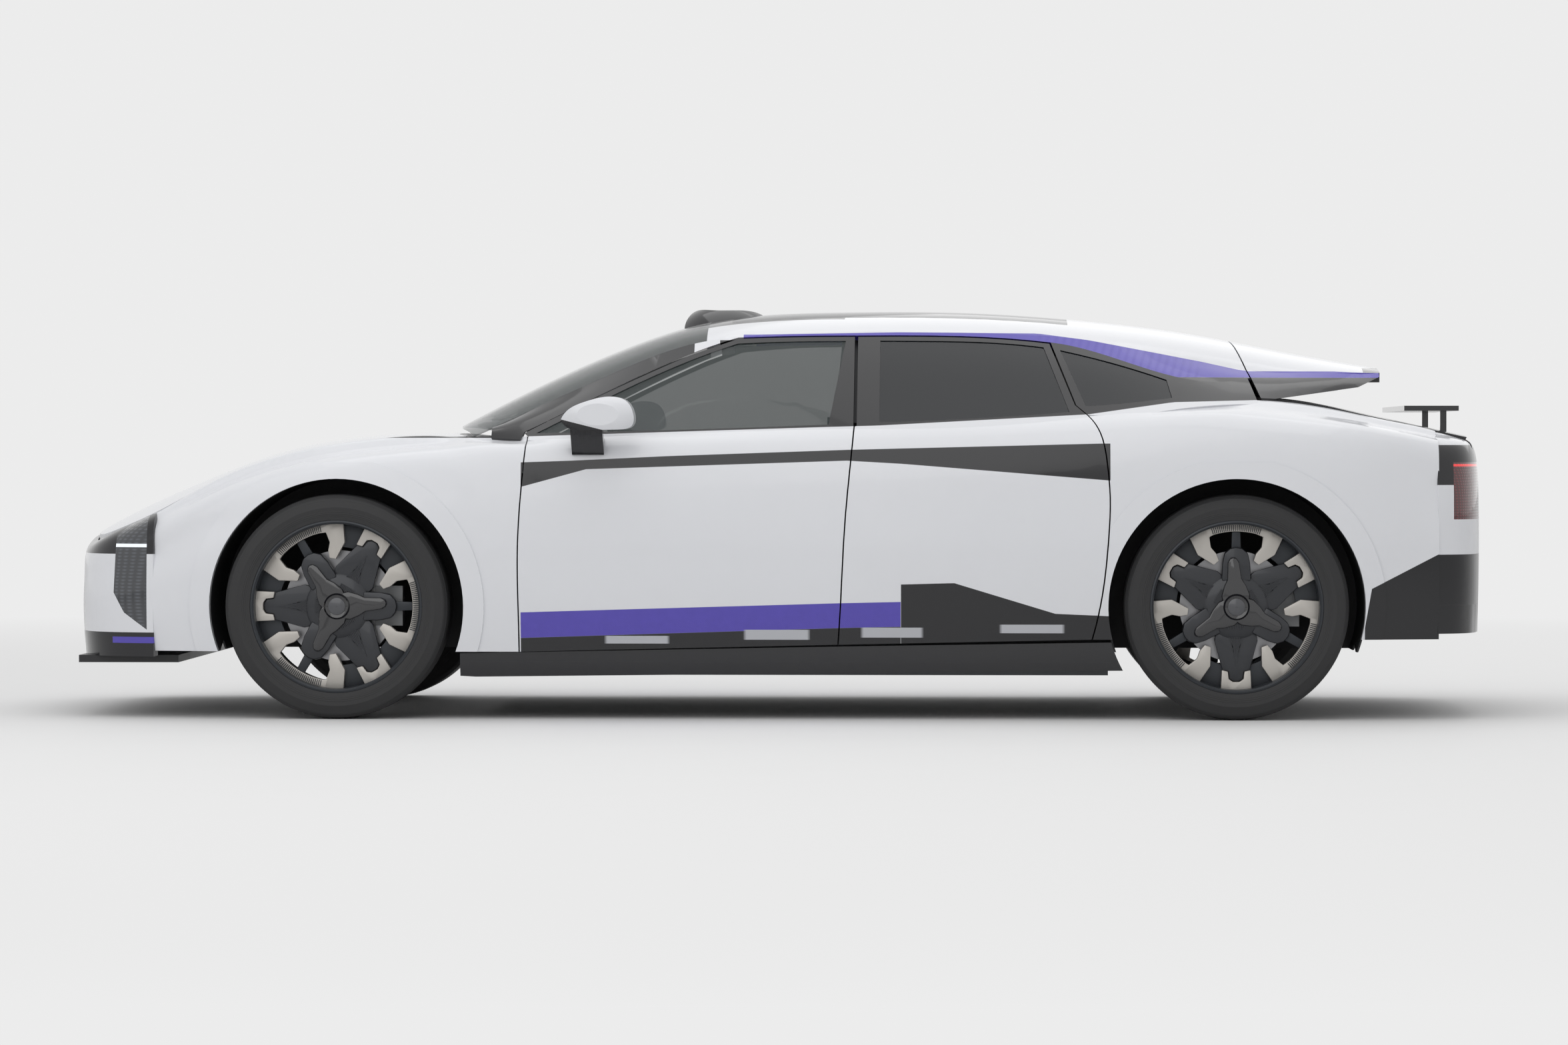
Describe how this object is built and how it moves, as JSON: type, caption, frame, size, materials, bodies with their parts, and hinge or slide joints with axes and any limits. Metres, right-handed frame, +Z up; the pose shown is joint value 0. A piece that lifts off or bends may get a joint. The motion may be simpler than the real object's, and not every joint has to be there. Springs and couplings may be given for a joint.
{
  "type": "electric sedan",
  "caption": "Four-door electric fastback sedan with coach-opening rear doors, hinged hood and tailgate, steered front wheels and a glazed hollow cabin.",
  "frame": {"origin": "centre of the bounding box's base, on the ground", "axes": "+X towards the tail, +Y towards the car's right side, +Z up"},
  "size_m": [5.0372, 2.284, 1.4538],
  "materials": {
    "white_paint": "gloss",
    "black_trim": "gloss",
    "matt_black": "matt",
    "clear_glass": "gloss",
    "dark_glass": "gloss",
    "lamp_lens": "gloss",
    "tail_lens": "gloss",
    "tyre_rubber": "matt",
    "wheel_alloy": "satin",
    "chassis_metal": "satin",
    "drive_metal": "satin",
    "battery_case": "satin",
    "seat_fabric": "satin",
    "cabin_trim": "matt"
  },
  "bodies": {
    "body": {"battery_pack": "battery_case", "body_frame": "chassis_metal", "centre_console": "cabin_trim", "dashboard": "cabin_trim", "front_bumper": "white_paint", "front_drive_unit": "drive_metal", "front_fenders": "white_paint", "front_seats": "seat_fabric", "front_splitter": "black_trim", "front_suspension_arms": "chassis_metal", "headlamps": "lamp_lens", "quarter_windows": "dark_glass", "rear_bumper": "white_paint", "rear_drive_unit": "drive_metal", "rear_quarter_panels": "white_paint", "rear_seats": "seat_fabric", "rear_suspension_arms": "chassis_metal", "roof_glass": "dark_glass", "roof_panel": "white_paint", "roof_sensor_pod": "black_trim", "side_sills": "black_trim", "tail_lamps": "tail_lens", "wheel_arch_liners": "matt_black", "windscreen": "clear_glass"},
    "front_door_body_left": {"front_door_left": "white_paint", "front_door_glass_left": "clear_glass", "door_mirror_left": "white_paint"},
    "rear_door_body_left": {"rear_door_left": "white_paint", "rear_door_glass_left": "dark_glass"},
    "steered_left": {"knuckle_front_left": "chassis_metal"},
    "wheel_front_left": {"tyre_front_left": "tyre_rubber", "rim_front_left": "wheel_alloy"},
    "wheel_rear_left": {"tyre_rear_left": "tyre_rubber", "rim_rear_left": "wheel_alloy"},
    "front_door_body_right": {"front_door_right": "white_paint", "front_door_glass_right": "clear_glass", "door_mirror_right": "white_paint"},
    "rear_door_body_right": {"rear_door_right": "white_paint", "rear_door_glass_right": "dark_glass"},
    "steered_right": {"knuckle_front_right": "chassis_metal"},
    "wheel_front_right": {"tyre_front_right": "tyre_rubber", "rim_front_right": "wheel_alloy"},
    "wheel_rear_right": {"tyre_rear_right": "tyre_rubber", "rim_rear_right": "wheel_alloy"},
    "hood_body": {"hood": "white_paint"},
    "tailgate_body": {"tailgate": "white_paint", "roof_spoiler": "white_paint", "rear_window": "dark_glass", "rear_wing": "black_trim"},
    "steering_wheel_body": {"steering_wheel": "cabin_trim"}
  },
  "joints": [
    {"name": "front_door_hinge_left", "type": "hinge", "parent": "body", "child": "front_door_body_left", "pos_m": [-0.893, -0.998, 0.6], "axis": [0, 0, -1], "range_deg": [0, 65]},
    {"name": "rear_door_hinge_left", "type": "hinge", "parent": "body", "child": "rear_door_body_left", "pos_m": [1.177, -1.006, 0.6], "axis": [0, 0, 1], "range_deg": [0, 75]},
    {"name": "steer_left", "type": "hinge", "parent": "body", "child": "steered_left", "pos_m": [-1.533, -0.825, 0.394], "axis": [0, 0, 1], "range_deg": [-32, 32]},
    {"name": "wheel_spin_front_left", "type": "hinge", "parent": "steered_left", "child": "wheel_front_left", "pos_m": [-1.533, -0.855, 0.394], "axis": [0, 1, 0], "continuous": true},
    {"name": "wheel_spin_rear_left", "type": "hinge", "parent": "body", "child": "wheel_rear_left", "pos_m": [1.617, -0.855, 0.394], "axis": [0, 1, 0], "continuous": true},
    {"name": "front_door_hinge_right", "type": "hinge", "parent": "body", "child": "front_door_body_right", "pos_m": [-0.893, 0.998, 0.6], "axis": [0, 0, 1], "range_deg": [0, 65]},
    {"name": "rear_door_hinge_right", "type": "hinge", "parent": "body", "child": "rear_door_body_right", "pos_m": [1.177, 1.006, 0.6], "axis": [0, 0, -1], "range_deg": [0, 75]},
    {"name": "steer_right", "type": "hinge", "parent": "body", "child": "steered_right", "pos_m": [-1.533, 0.825, 0.394], "axis": [0, 0, 1], "range_deg": [-32, 32]},
    {"name": "wheel_spin_front_right", "type": "hinge", "parent": "steered_right", "child": "wheel_front_right", "pos_m": [-1.533, 0.855, 0.394], "axis": [0, 1, 0], "continuous": true},
    {"name": "wheel_spin_rear_right", "type": "hinge", "parent": "body", "child": "wheel_rear_right", "pos_m": [1.617, 0.855, 0.394], "axis": [0, 1, 0], "continuous": true},
    {"name": "hood_hinge", "type": "hinge", "parent": "body", "child": "hood_body", "pos_m": [-1.078, 0, 1.004], "axis": [0, 1, 0], "range_deg": [0, 50]},
    {"name": "tailgate_hinge", "type": "hinge", "parent": "body", "child": "tailgate_body", "pos_m": [1.628, 0, 1.345], "axis": [0, -1, 0], "range_deg": [0, 60]},
    {"name": "steering_wheel_turn", "type": "hinge", "parent": "body", "child": "steering_wheel_body", "pos_m": [-0.345, -0.37, 0.8], "axis": [0.9063, 0, 0.4226], "continuous": true}
  ],
  "couplings": [
    {"joint": "steer_right", "follows": "steer_left", "ratio": 1}
  ]
}
